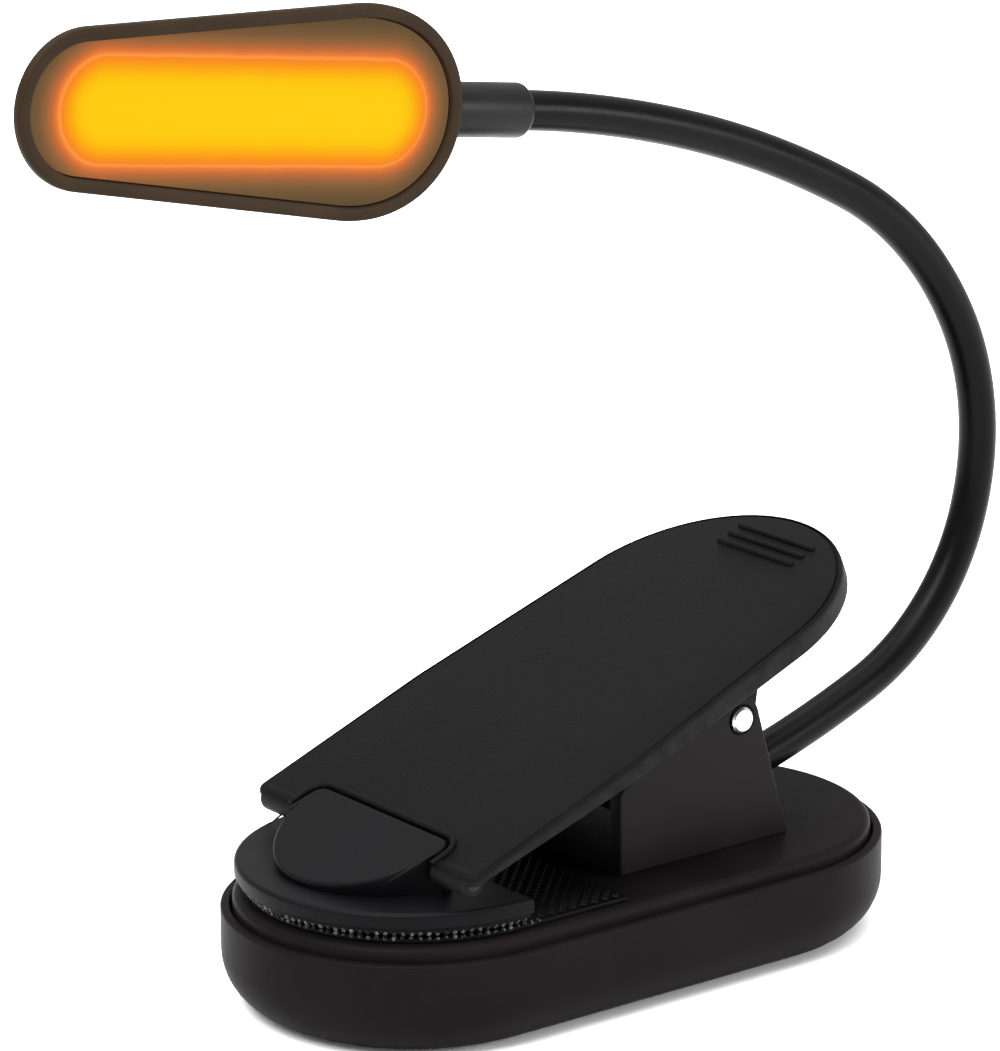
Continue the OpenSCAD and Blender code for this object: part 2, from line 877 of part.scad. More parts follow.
module window2d(inset) {
    translate([window_x, 0]) pill2d(window_l - 2 * inset, window_w - 2 * inset);
}

module light_guide() {
    color("#ffc21a") in_head_frame() side_plate(guide_y, guide_t) window2d(0);
}

module reflector() {
    color("white") in_head_frame() side_plate(guide_y, guide_t)
        difference() {
            window2d(-reflector_t - 0.05);
            window2d(-0.05);
        }
}

module led_board() {
    color("white") in_head_frame()
        translate([window_x - led_board.x / 2, led_y + led.y, -led_board.z / 2])
            cube(led_board);
}

module leds() {
    color("#ffb52e") in_head_frame() for (k = [0 : led_count - 1])
        translate([window_x + (k - (led_count - 1) / 2) * led_pitch - led.x / 2,
                   led_y, -led.z / 2]) cube(led);
}

base_housing();
base_cover();
base_screws();
lower_grip_mat();
pivot_bracket();
bracket_screws();
pivot_pin();
torsion_spring();
neck_anchor();
battery_cell();
main_pcb();
usb_c_socket();
power_switch();
battery_leads();
lamp_leads();
power_button();
clip_lever();
jaw_pin();
jaw_pad();
upper_grip_pad();
for (i = [0 : 5]) {
    neck_sleeve(i);
    neck_core(i);
    neck_wires(i);
}
head_collar();
head_back_shell();
head_bezel();
light_cover();
light_guide();
reflector();
led_board();
leds();
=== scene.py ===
"""A clip-on reading lamp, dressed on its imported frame.

Sizes of the design are in millimetres, in the local frame of each part, and place() turns
them into metres in the row frame.
"""

import json
from math import acos, asin, atan2, ceil, cos, degrees, hypot, pi, radians, sin, sqrt

import bpy
from mathutils import Matrix, Vector

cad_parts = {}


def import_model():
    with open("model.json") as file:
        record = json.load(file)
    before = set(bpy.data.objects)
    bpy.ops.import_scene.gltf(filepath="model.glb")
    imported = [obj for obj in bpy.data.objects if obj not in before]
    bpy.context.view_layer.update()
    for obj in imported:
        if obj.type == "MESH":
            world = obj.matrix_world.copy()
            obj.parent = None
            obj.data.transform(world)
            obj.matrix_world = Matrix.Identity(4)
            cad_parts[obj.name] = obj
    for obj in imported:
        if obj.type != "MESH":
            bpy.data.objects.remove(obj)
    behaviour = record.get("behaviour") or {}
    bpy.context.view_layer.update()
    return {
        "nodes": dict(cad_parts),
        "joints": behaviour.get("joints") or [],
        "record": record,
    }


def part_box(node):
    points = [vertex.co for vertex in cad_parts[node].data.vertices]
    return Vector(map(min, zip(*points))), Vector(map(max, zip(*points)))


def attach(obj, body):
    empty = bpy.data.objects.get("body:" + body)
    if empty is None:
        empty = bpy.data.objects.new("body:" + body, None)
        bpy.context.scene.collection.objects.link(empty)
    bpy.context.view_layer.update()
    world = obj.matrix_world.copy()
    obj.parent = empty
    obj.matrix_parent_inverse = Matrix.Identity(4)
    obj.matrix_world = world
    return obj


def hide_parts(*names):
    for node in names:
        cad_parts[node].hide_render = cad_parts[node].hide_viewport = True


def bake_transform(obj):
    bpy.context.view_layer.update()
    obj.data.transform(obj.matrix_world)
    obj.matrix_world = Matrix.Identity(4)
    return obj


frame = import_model()

# ---- Design values, in millimetres and degrees --------------------------------------

# base: a tray with a rim, a lid on the tray's ledge, screw posts and two slots (length, width)
BASE_L, BASE_W, RIM_H, BOTTOM_R = 84, 44, 11.5, 6.4
RIM_T, LEDGE_Z, WALL, FLOOR_T, RIM_ROUND = 1.1, 9.7, 2.2, 1.8, 0.35
COVER_INSET, COVER_TOP, COVER_ROUND = 1.36, 13.1, 1.0
POSTS = [(x, y) for x in (-30.5, 30.5) for y in (-8.5, 8.5)]
SOCKET_SLOT, BUTTON_SLOT = (9.5, 3.75), (8.5, 3.7)

# lever: the pitch and height of its frame, its plan, notch and plate, and (x, depth) of its skirt
LEVER_PITCH, LEVER_Z, LEVER_HALF_W = 21.2, 31.5, 20.5
THUMB_X, THUMB_R, STRAIGHT_TO = 20.1, 18.7, -5
FORK_END, NOTCH_END, NOTCH_HALF_W, NOTCH_R = -30.4, -25.4, 12.9, 2.2
PLATE_T, SKIRT_T = 1.5, 1.6
SKIRT = ((FORK_END, 1.1), (-6, 2.2), (20, 2.9))
LIP_W, LIP_H = 0.75, 0.45
JAW_PIN, NOSE_R, NOSE_W = (-28.8, -1.4), 1.5, 6.4
RIDGES_X, RIDGE_L, RIDGE_W = (31.4, 33.1, 34.8), 13.6, 0.8

# pivot: the pin's x and z, the bracket's side plates with a round eye over the pin
PIN, PIN_R = (17.1, 28.1), 1.5
EAR_Y, EAR_T, EYE_R = 12.3, 2, 2.6
BRACKET_FRONT, BRACKET_REAR, BRACKET_WALL, WALL_TOP = -0.5, 24, 1.8, 20.5
FRONT_CORNER_R, FRONT_CORNER_Z = 1.6, 22.1
SPRING_R, SPRING_WIRE_R, SPRING_PITCH, SPRING_TURNS = 3.4, 0.55, 1.4, 5

# grips: the mat on the base, the pad under the jaw's disc, their studs and beads
MAT_X, MAT_T, MAT_R, MAT_END = -20, 0.9, 19.1, -5
GRIP_Z, GRIP_T, GRIP_INSET = 14.1, 1.1, 0.6
STUD_PITCH, STUD_H, BEAD_R, BEAD_PITCH = 1.5, 0.3, 0.31, 0.95

# jaw: a disc behind the notch and a round boss that rises in it
DISC_T, JAW_X, JAW_R, JAW_CUT = 1.7, -20.2, 20.2, -18.8
BOSS_X, BOSS_R, BOSS_GAP = -26.9, 12.35, 0.35
BOSS_RISE, BOSS_CAP_T, BOSS_RELIEF = 0.4, 1.4, 1.2

# neck: where it starts, its first heading, and the turn of each of its equal stretches
NECK_START, NECK_HEADING, STRETCH = (22, 16), 12, 25.1
TURNS = (11, 50, 44, 34, 11, 10)
NECK_L = STRETCH * len(TURNS)
NECK_R, BORE_R, SWING_AT, BEND_REACH = 2.25, 1.8, 2.5, 9.5

# head: its plan in its own frame, the levels of its layers, and the lit window
TIP_X, TIP_R, WIDE_X, WIDE_R, NEAR_REACH, NEAR_POWER = -58.9, 8.6, -24.3, 11.7, 13.6, 2.1
FACE_Y, SEAM_Y, BACK_Y, GLASS_Y, HEAD_RIM_W = 3.6, 2.4, -3.9, 3.1, 1.5
WINDOW_X, WINDOW_L, WINDOW_W = -38.9, 47, 11.6
COLLAR_R, COLLAR_L, BOSS_AT = 3.05, 11.2, -10.8
HEAD_TILT = 8

# ---- Frames -------------------------------------------------------------------------

MM = 0.001
MILLIMETRES = Matrix.Scale(MM, 4)
JOINT = {j["name"]: j for j in frame["joints"]}

# u, v, w of a plate become x, z and -y
UPRIGHT = Matrix(((1, 0, 0, 0), (0, 0, -1, 0), (0, 1, 0, 0), (0, 0, 0, 1)))
# u, v, w of a plate on the far side become -x, z and y
FACING_BACK = Matrix(((-1, 0, 0, 0), (0, 0, 1, 0), (0, 1, 0, 0), (0, 0, 0, 1)))
# u, v, w of a plate across the base's end become y, z and x
ACROSS_END = Matrix(((0, 0, 1, 0), (1, 0, 0, 0), (0, 1, 0, 0), (0, 0, 0, 1)))
# the axis of a turned profile comes to point along -x
TOWARDS_TIP = Matrix.Rotation(-pi / 2, 4, "Y")


def at(x, y, z, turn=Matrix.Identity(4)):
    """A frame at a point, turned by a matrix."""
    return Matrix.Translation((x, y, z)) @ turn


LEVER_FRAME = at(0, 0, LEVER_Z, Matrix.Rotation(radians(-LEVER_PITCH), 4, "Y"))
NECK_END = Vector(JOINT["head_turn"]["pos_m"]) / MM
HEAD_FRAME = at(*NECK_END, Matrix.Rotation(radians(HEAD_TILT), 4, "Y"))
HEAD_PLATE = HEAD_FRAME @ UPRIGHT
PIN_AXIS = at(PIN[0], 0, PIN[1], UPRIGHT)

# ---- Outlines: lists of (u, v) points, anticlockwise --------------------------------


def arc(centre, r, start, end, steps):
    """Points on a circle from one angle to another, in degrees."""
    angles = [radians(start + (end - start) * k / steps) for k in range(steps + 1)]
    return [(centre[0] + r * cos(a), centre[1] + r * sin(a)) for a in angles]


def pill(length, width, steps=24):
    """A long outline with half-round ends."""
    half = (length - width) / 2
    return arc((half, 0), width / 2, -90, 90, steps) + arc((-half, 0), width / 2, 90, 270, steps)


def inset(points, d):
    """The outline drawn in by d, with mitred corners."""
    moved = []
    for k, (x, y) in enumerate(points):
        (x0, y0), (x1, y1) = points[k - 1], points[(k + 1) % len(points)]
        l0, l1 = hypot(x - x0, y - y0), hypot(x1 - x, y1 - y)
        n0, n1 = ((y0 - y) / l0, (x - x0) / l0), ((y - y1) / l1, (x1 - x) / l1)
        scale = d / (1 + n0[0] * n1[0] + n0[1] * n1[1])
        moved.append((x + (n0[0] + n1[0]) * scale, y + (n0[1] + n1[1]) * scale))
    return moved


def fillet(corner, before, after, r, steps=6):
    """The arc that rounds a corner between the directions to its neighbours."""
    a, b, c = Vector(before), Vector(corner), Vector(after)
    u, v = (a - b).normalized(), (c - b).normalized()
    half = acos(max(-1, min(1, u.dot(v)))) / 2
    centre = b + (u + v).normalized() * (r / sin(half))
    start = atan2(*reversed(b + u * (r / (sin(half) / cos(half))) - centre))
    turn = pi - 2 * half
    if u.x * v.y - u.y * v.x > 0:
        turn = -turn
    return arc(centre, r, degrees(start), degrees(start + turn), steps)


def rounded(corners):
    """A polygon given as (u, v, radius) corners, each of them rounded."""
    points = []
    for k, (x, y, r) in enumerate(corners):
        before, after = corners[k - 1][:2], corners[(k + 1) % len(corners)][:2]
        points += fillet((x, y), before, after, r) if r else [(x, y)]
    return points


def lever_outline(d=0.0):
    """Plan of the lever with its notch, drawn in by d."""
    half_w, r = LEVER_HALF_W - d, THUMB_R - d
    reach = THUMB_X - STRAIGHT_TO
    touch = degrees(atan2(half_w, -reach) - acos(r / hypot(reach, half_w)))
    outer_r, inner_r, root_r = max(1.3 - d, 0.02), max(0.7 - d, 0.02), NOTCH_R + d
    prong_end = FORK_END + 0.7 + d
    half = [
        (STRAIGHT_TO, half_w, 0), (prong_end, half_w, outer_r),
        (prong_end, NOTCH_HALF_W + d, inner_r), (NOTCH_END + d, NOTCH_HALF_W + d, root_r),
    ]
    mirrored = [(x, -y, corner_r) for x, y, corner_r in reversed(half)]
    return arc((THUMB_X, 0), r, -touch, touch, 40) + rounded(half + mirrored)


def half_disc(r, cut, steps=40):
    """The part of a circle round the jaw's centre that lies in front of the cut."""
    a = degrees(acos((cut - JAW_X) / r))
    return arc((JAW_X, 0), r, a, 360 - a, steps)


def boss_outline(relief):
    """The jaw's round boss, cut off by the notch's end and set back from it by relief."""
    x, corner_r, blend = NOTCH_END - BOSS_GAP - relief, 1.6, 6
    side = sqrt(BOSS_R ** 2 - (x - BOSS_X) ** 2)
    turn = degrees(atan2(side, x - BOSS_X)) + blend
    flat = [(x - 3, -side, 0), (x, -side, corner_r), (x, side, corner_r), (x - 3, side, 0)]
    return rounded(flat)[1:-1] + arc((BOSS_X, 0), BOSS_R, turn, 360 - turn, 56)


def mat_outline():
    """The lower mat: a half disc and a straight stretch up to the bracket."""
    return arc((MAT_X, 0), MAT_R, 90, 270, 40) + [(MAT_END, -MAT_R), (MAT_END, MAT_R)]


def bracket_outline():
    """Side of the bracket in x and z: round over the pin, leaning at the rear."""
    corner = (BRACKET_FRONT + FRONT_CORNER_R, FRONT_CORNER_Z)
    dx, dz = BRACKET_REAR - PIN[0], COVER_TOP - PIN[1]
    rear = degrees(atan2(dz, dx) + acos(EYE_R / hypot(dx, dz)))
    ux, uz = corner[0] - PIN[0], corner[1] - PIN[1]
    lean = degrees(acos((EYE_R - FRONT_CORNER_R) / hypot(ux, uz)))
    top = degrees(atan2(uz, ux)) % 360 - lean
    eye, front = arc(PIN, EYE_R, rear, top, 18), arc(corner, FRONT_CORNER_R, top, 180, 10)
    return [(BRACKET_REAR, COVER_TOP)] + eye + front + [(BRACKET_FRONT, COVER_TOP)]


def signed_pow(value, power):
    """A power that keeps the sign of its value."""
    return abs(value) ** power * (1 if value > 0 else -1)


def head_outline(d=0.0):
    """A slightly squared ellipse at the neck, a round tip and the tangents between them."""
    lean = degrees(asin((WIDE_R - TIP_R) / (WIDE_X - TIP_X)))
    turn, steps = 90 + lean, 44
    near = []
    for k in range(-steps, steps + 1):
        a = radians(turn * k / steps)
        x = WIDE_X + (NEAR_REACH - d) * signed_pow(cos(a), 2 / NEAR_POWER)
        near.append((x, (WIDE_R - d) * signed_pow(sin(a), 2 / NEAR_POWER)))
    return near + arc((TIP_X, 0), TIP_R - d, turn, 360 - turn, 36)


# ---- Profiles: lists of (inset, height) points --------------------------------------

SUPPORT = 0.06  # width of the flat band beside a rounded edge, which keeps faces flat


def quarter(steps):
    """Angles from 0 to a right angle."""
    return [pi / 2 * k / steps for k in range(steps + 1)]


def foot_edge(r, low, steps):
    """A rounded lower edge, from the face below it to the side."""
    return [(r * (1 - sin(a)), low + r * (1 - cos(a))) for a in quarter(steps)]


def top_edge(r, high, steps):
    """A rounded upper edge, from the side to the face above it."""
    return [(r * (1 - cos(a)), high - r * (1 - sin(a))) for a in quarter(steps)]


def drawn_in(outline, profile):
    """Rings of an outline, one for each point of a profile."""
    return [[(x, y, z) for x, y in inset(outline, d)] for d, z in profile]


def plate_rings(outline, z0, z1, low, high, steps=4):
    """Rings of a slab whose lower and upper edges are rounded by low and high."""
    edges = foot_edge(low, z0, steps) + top_edge(high, z1, steps)
    return drawn_in(outline, [(low + SUPPORT, z0)] + edges + [(high + SUPPORT, z1)])


# ---- Building meshes ----------------------------------------------------------------


class Shape:
    """Closed bodies gathered into one mesh."""

    def __init__(self):
        self.verts, self.faces = [], []

    def loft(self, rings, matrix=None, tube=False):
        """Joins rings of points in turn. The ends are capped, or joined if it is a tube."""
        start, n = len(self.verts), len(rings[0])
        for ring in rings:
            self.verts += [matrix @ Vector(p) if matrix else Vector(p) for p in ring]
        last = len(rings) if tube else len(rings) - 1
        for j in range(last):
            a, b = start + j * n, start + (j + 1) % len(rings) * n
            self.faces += [(a + k, a + (k + 1) % n, b + (k + 1) % n, b + k) for k in range(n)]
        if not tube:
            end = start + (len(rings) - 1) * n
            self.faces += [tuple(range(start + n - 1, start - 1, -1)), tuple(range(end, end + n))]
        return self

    def plate(self, outline, z0, z1, low=0.2, high=0.2, matrix=None, steps=4):
        """A slab between z0 and z1 whose lower and upper edges are rounded."""
        return self.loft(plate_rings(outline, z0, z1, low, high, steps), matrix)

    def turned(self, profile, matrix=None, steps=40, tube=True):
        """A closed profile of (radius, z) points, turned about z."""
        rings = [[(r * cos(2 * pi * k / steps), r * sin(2 * pi * k / steps), z)
                  for k in range(steps)] for r, z in profile]
        return self.loft(rings, matrix, tube)

    def solid(self, profile, matrix=None, steps=40):
        """A profile of (radius, z) points, turned about z and capped at both ends."""
        return self.turned(profile, matrix, steps, tube=False)

    def sweep(self, path, r, sides=12, bore=None):
        """A rod along a path of Vectors, or a tube if it has a bore."""
        rings = sweep_rings(path, r, sides)
        if bore is None:
            return self.loft(rings)
        return self.loft(rings + sweep_rings(path, bore, sides)[::-1], tube=True)


def sweep_rings(path, r, sides):
    """Rings round a path, turned as little as possible from one to the next."""
    rings, across = [], None
    for k, p in enumerate(path):
        ahead = (path[min(k + 1, len(path) - 1)] - path[max(k - 1, 0)]).normalized()
        if across is None:
            across = ahead.orthogonal().normalized()
        across = (across - ahead * across.dot(ahead)).normalized()
        up = ahead.cross(across)
        angles = [2 * pi * s / sides for s in range(sides)]
        rings.append([p + across * (r * cos(a)) + up * (r * sin(a)) for a in angles])
    return rings


def place(name, shape, matrix=None, smooth=35):
    """Makes a shape, drawn in millimetres, an object in metres in the row frame."""
    mesh = bpy.data.meshes.new(name)
    mesh.from_pydata([tuple(v) for v in shape.verts], [], shape.faces)
    mesh.transform(MILLIMETRES @ (matrix or Matrix.Identity(4)))
    mesh.shade_smooth()
    mesh.set_sharp_from_angle(angle=radians(smooth))
    piece = bpy.data.objects.new(name, mesh)
    bpy.context.scene.collection.objects.link(piece)
    return piece


def cut(piece, shape, smooth=35):
    """Takes a shape away from a piece."""
    cutter = place(piece.name + "_cutter", shape)
    boolean = piece.modifiers.new("cut", "BOOLEAN")
    boolean.object, boolean.operation, boolean.solver = cutter, "DIFFERENCE", "EXACT"
    boolean.use_self = True
    evaluated = piece.evaluated_get(bpy.context.evaluated_depsgraph_get())
    piece.data = bpy.data.meshes.new_from_object(evaluated)
    piece.modifiers.clear()
    bpy.data.objects.remove(cutter)
    piece.data.shade_smooth()
    piece.data.set_sharp_from_angle(angle=radians(smooth))


def dress(piece, body, slot, material, *nodes):
    """Gives a piece its material, the body it rides on and the nodes it replaces. The slot is not
    used.
    """
    piece.data.materials.clear()
    piece.data.materials.append(material)
    if body:
        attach(piece, body)
    if nodes:
        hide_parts(*nodes)


# ---- Materials ----------------------------------------------------------------------

# the colour sockets of a Mix node
MIX_A, MIX_B, MIX_RESULT = 6, 7, 2


def linear(r, g, b):
    """A colour given as it shows on a screen, from 0 to 255, in linear light."""
    return tuple(((c / 255 + 0.055) / 1.055) ** 2.4 if c > 10 else c / 255 / 12.92
                 for c in (r, g, b)) + (1.0,)


class Nodes:
    """A material's node tree, with short names for the nodes used here."""

    def __init__(self, name):
        self.material = bpy.data.materials.new(name)
        self.material.use_nodes = True
        self.tree = self.material.node_tree
        self.shader = self.tree.nodes["Principled BSDF"]
        self.place = self.node("ShaderNodeTexCoord").outputs["Object"]

    def node(self, kind, **settings):
        made = self.tree.nodes.new(kind)
        for key, value in settings.items():
            setattr(made, key, value)
        return made

    def link(self, output, socket):
        self.tree.links.new(output, socket)

    def drive(self, **outputs):
        """Links outputs to the shader's sockets, such as Base_Color."""
        for key, output in outputs.items():
            self.link(output, self.shader.inputs[key.replace("_", " ")])

    def set(self, **values):
        """Sets the shader's sockets to constants."""
        for key, value in values.items():
            self.shader.inputs[key.replace("_", " ")].default_value = value

    def math(self, operation, a, b=0.0):
        made = self.node("ShaderNodeMath", operation=operation)
        for socket, value in zip(made.inputs, (a, b)):
            if isinstance(value, (int, float)):
                socket.default_value = value
            else:
                self.link(value, socket)
        return made.outputs[0]

    def noise(self, size_mm, detail=3.0, roughness=0.5):
        made = self.node("ShaderNodeTexNoise")
        made.inputs["Scale"].default_value = 1 / (size_mm * MM)
        made.inputs["Detail"].default_value = detail
        made.inputs["Roughness"].default_value = roughness
        self.link(self.place, made.inputs["Vector"])
        return made.outputs["Fac"]

    def ramp(self, factor, stops):
        """Colours by a factor, from (position, colour) stops."""
        made = self.node("ShaderNodeValToRGB")
        while len(made.color_ramp.elements) < len(stops):
            made.color_ramp.elements.new(1.0)
        for element, (position, colour) in zip(made.color_ramp.elements, stops):
            element.position, element.color = position, colour
        self.link(factor, made.inputs["Fac"])
        return made.outputs["Color"]

    def mottle(self, noise, dark, light):
        """Two tones, given as they show on a screen, mixed by a noise."""
        return self.ramp(noise, [(0.3, linear(*dark)), (0.7, linear(*light))])

    def span(self, value, low, high, to_low, to_high):
        """Maps one range onto another, and holds at its ends."""
        made = self.node("ShaderNodeMapRange")
        for socket, number in zip(list(made.inputs)[1:5], (low, high, to_low, to_high)):
            socket.default_value = number
        self.link(value, made.inputs["Value"])
        return made.outputs[0]

    def vary(self, noise, low, high):
        """A value that wanders between low and high with a noise."""
        return self.span(noise, 0.3, 0.7, low, high)

    def bump(self, *layers):
        """Stacks layers of (height, distance in mm, strength)."""
        normal = None
        for height, distance, strength in layers:
            made = self.node("ShaderNodeBump")
            made.inputs["Distance"].default_value = distance * MM
            made.inputs["Strength"].default_value = strength
            self.link(height, made.inputs["Height"])
            if normal:
                self.link(normal, made.inputs["Normal"])
            normal = made.outputs["Normal"]
        self.drive(Normal=normal)

    def local_axes(self, origin, pitch):
        """X, Y and Z in mm, in a frame at origin that is pitched about y by some degrees."""
        local = self.node("ShaderNodeMapping", vector_type="TEXTURE")
        local.inputs["Location"].default_value = Vector(origin) * MM
        local.inputs["Rotation"].default_value = (0, radians(pitch), 0)
        local.inputs["Scale"].default_value = (MM, MM, MM)
        self.link(self.place, local.inputs["Vector"])
        axes = self.node("ShaderNodeSeparateXYZ")
        self.link(local.outputs["Vector"], axes.inputs[0])
        return axes.outputs


def moulded(name, dark, light, roughness, specular, grain_mm, grain, side=None):
    """Moulded black plastic: cloudy tone, spark-eroded grain and uneven gloss. With side, the lever's
    side band gets lighter tones, painted light for the light that falls on it.
    """
    n = Nodes(name)
    clouds, fine = n.noise(9, 4), n.noise(grain_mm, 5, 0.65)
    tone = n.mottle(clouds, dark, light)
    n.drive(Base_Color=lever_tone_lit_side(n, tone, side) if side else tone)
    gloss = n.vary(fine, roughness - 0.05, roughness + 0.05)
    n.drive(Roughness=n.math("ADD", n.vary(clouds, -0.05, 0.05), gloss))
    n.bump((fine, 0.05, grain), (n.noise(4, 2), 0.06, 0.08))
    n.set(Specular_IOR_Level=specular)
    return n.material


def lever_tone_lit_side(n, top, side):
    """The lever's colour: top on its upper face, and two lighter tones on its side below, painted
    light where the side band catches the light.
    """
    below = n.span(n.local_axes((0, 0, LEVER_Z), -LEVER_PITCH)["Z"], -0.1, -0.6, 0, 1)
    blend = n.node("ShaderNodeMix", data_type="RGBA")
    n.link(below, blend.inputs["Factor"])
    n.link(top, blend.inputs[MIX_A])
    n.link(n.mottle(n.noise(2, 3), *side), blend.inputs[MIX_B])
    return blend.outputs[MIX_RESULT]


def speckled(name, dark, light, size_mm):
    """Black rubber with bright speckle here and there: a painted highlight, glints of light on the
    raised beads.
    """
    n = Nodes(name)
    glints = n.noise(size_mm, 4, 0.7)
    n.drive(Base_Color=n.ramp(glints, [(0.46, linear(*dark)), (0.62, linear(*light))]))
    n.drive(Roughness=n.vary(glints, 0.5, 0.35))
    n.bump((n.noise(0.2, 3), 0.03, 0.4))
    n.set(Specular_IOR_Level=0.1)
    return n.material


def metal(name, dark, light, roughness):
    """Drawn steel with fine lines along y."""
    n = Nodes(name)
    stretch = n.node("ShaderNodeMapping")
    stretch.inputs["Scale"].default_value = (1, 0.08, 1)
    n.link(n.place, stretch.inputs["Vector"])
    n.place = stretch.outputs["Vector"]
    lines = n.noise(0.12, 4, 0.7)
    n.drive(Base_Color=n.mottle(n.noise(1.2, 3), dark, light))
    n.drive(Roughness=n.vary(lines, roughness - 0.08, roughness + 0.1))
    n.bump((lines, 0.01, 0.25))
    n.set(Metallic=1.0)
    return n.material


def plain(name, dark, light, roughness, grain_mm=0.6):
    """Small inner parts: two near tones and a light grain."""
    n = Nodes(name)
    fine = n.noise(grain_mm, 3)
    n.drive(Base_Color=n.mottle(n.noise(grain_mm * 4, 3), dark, light))
    n.drive(Roughness=n.vary(fine, roughness - 0.06, roughness + 0.06))
    n.bump((fine, 0.02, 0.2))
    return n.material


def window_distance(n):
    """Distance in mm outside the lit window's edge, on the head's face."""
    axes = n.local_axes(HEAD_FRAME @ Vector((WINDOW_X, 0, 0)), HEAD_TILT)
    along = n.math("SUBTRACT", n.math("ABSOLUTE", axes["X"]), (WINDOW_L - WINDOW_W) / 2)
    along = n.math("MAXIMUM", along, 0.0)
    squares = n.math("ADD", n.math("POWER", along, 2.0), n.math("POWER", axes["Z"], 2.0))
    return n.math("SUBTRACT", n.math("SQRT", squares), WINDOW_W / 2)


def glowing(name, stops, strength, dark, light, roughness, specular):
    """A surface that glows by its distance in mm from the window's edge."""
    n = Nodes(name)
    low, high = stops[0][0], stops[-1][0]
    distance = n.math("ADD", window_distance(n), n.vary(n.noise(3, 3), -0.06, 0.06))
    factor, fine = n.span(distance, low, high, 0, 1), n.noise(0.5, 3)
    glow = n.ramp(factor, [((d - low) / (high - low), linear(*c)) for d, c in stops])
    n.drive(Emission_Color=glow, Base_Color=n.mottle(n.noise(5, 3), dark, light))
    n.drive(Roughness=n.vary(fine, roughness - 0.04, roughness + 0.04))
    n.bump((fine, 0.01, 0.15))
    n.set(Emission_Strength=strength, Specular_IOR_Level=specular)
    return n.material


# name, dark tone, light tone, roughness, specular level, grain size in mm and its strength
housing_black = moulded("housing_black", (14, 12, 13), (19, 16, 17), 0.45, 0.016, 0.22, 0.4)
bracket_black = moulded("bracket_black", (17, 15, 16), (22, 19, 20), 0.5, 0.05, 0.22, 0.3)
# the lever's side tones are painted light: a side band lighter than the top, as if lit
lever_black = moulded("lever_black", (5, 5, 5), (10, 10, 10), 0.48, 0.033, 0.3, 1.2,
                      side=((13, 13, 13), (24, 23, 24)))
jaw_black = moulded("jaw_black", (6, 6, 7), (9, 9, 11), 0.45, 0.045, 0.25, 0.3)
collar_black = moulded("collar_black", (12, 11, 11), (16, 15, 15), 0.4, 0.1, 0.3, 0.15)
# the rim's brown tint is painted light: orange spill from the lit window, painted into its black
# plastic
head_black_painted_spill = moulded("head_black_painted_spill", (31, 22, 13), (39, 29, 19), 0.5, 0.045, 0.25, 0.25)
neck_rubber = moulded("neck_rubber", (4, 3, 4), (6, 5, 5), 0.32, 0.06, 0.35, 0.12)
# the grip rubber is near-black and made darker still as painted shade, for the shade under the clip
grip_rubber_painted_shade = moulded("grip_rubber_painted_shade", (3, 3, 3), (5, 5, 5), 0.42, 0.04, 0.25, 0.4)
# the beads' light tone is a painted highlight: glints on the beads
bead_rubber = speckled("bead_rubber", (4, 4, 4), (88, 88, 86), 1.0)
steel = metal("steel", (170, 170, 173), (225, 225, 227), 0.3)
dark_steel = metal("dark_steel", (34, 33, 33), (46, 45, 45), 0.4)
cell_foil = plain("cell_foil", (120, 128, 136), (140, 148, 156), 0.4)
board_green = plain("board_green", (18, 70, 42), (26, 84, 52), 0.35, 0.4)
switch_black = plain("switch_black", (28, 28, 28), (40, 40, 40), 0.5)
wire_red = plain("wire_red", (120, 22, 20), (150, 30, 26), 0.5)
white_plastic = plain("white_plastic", (222, 222, 216), (236, 236, 230), 0.45)
led_amber = plain("led_amber", (230, 170, 60), (250, 196, 84), 0.3)
guide_amber = plain("guide_amber", (250, 176, 20), (255, 196, 30), 0.35)

# the glow's colour by the distance in mm from the window's edge, negative inside it; the paler stops
# at -0.1 and 0.05 are a painted highlight along the lens edge
GLOW_WITH_EDGE_HIGHLIGHT = [
    (-5.8, (255, 206, 0)), (-3.3, (255, 204, 0)), (-2.3, (255, 194, 0)),
    (-1.5, (254, 173, 6)), (-0.8, (252, 150, 20)), (-0.3, (250, 134, 36)),
    (-0.1, (253, 154, 64)), (0.05, (251, 146, 64)), (0.25, (236, 124, 54)),
    (0.8, (196, 108, 56)), (1.5, (154, 100, 58)), (2.4, (120, 88, 55)),
    (4.0, (94, 75, 50)), (6.0, (76, 62, 46)),
]
smoked_face = glowing("smoked_face", GLOW_WITH_EDGE_HIGHLIGHT, 0.98, (5, 3, 1), (7, 5, 2), 0.4, 0.015)

SLOT_MATERIAL = {
    "black_shell": housing_black, "black_lever": lever_black, "rubber": neck_rubber,
    "steel": steel, "smoked_cover": smoked_face, "light_guide": guide_amber,
    "white_plastic": white_plastic, "led": led_amber, "cell": cell_foil,
    "circuit_board": board_green, "switch": switch_black, "wire": wire_red,
}


def dress_cad():
    """Gives each CAD node the material of its slot."""
    for row in frame["record"]["subparts"]:
        cad = frame["nodes"][row["node"]]
        cad.data.materials.clear()
        cad.data.materials.append(SLOT_MATERIAL[row["material_slot"]])
    frame["nodes"]["jaw_pin"].data.materials[0] = dark_steel


# ---- Base ---------------------------------------------------------------------------


def box_mm(node):
    """The lowest and highest corners of a CAD node, and its middle, in millimetres."""
    low, high = [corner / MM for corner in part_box(node)]
    return low, high, (low + high) / 2


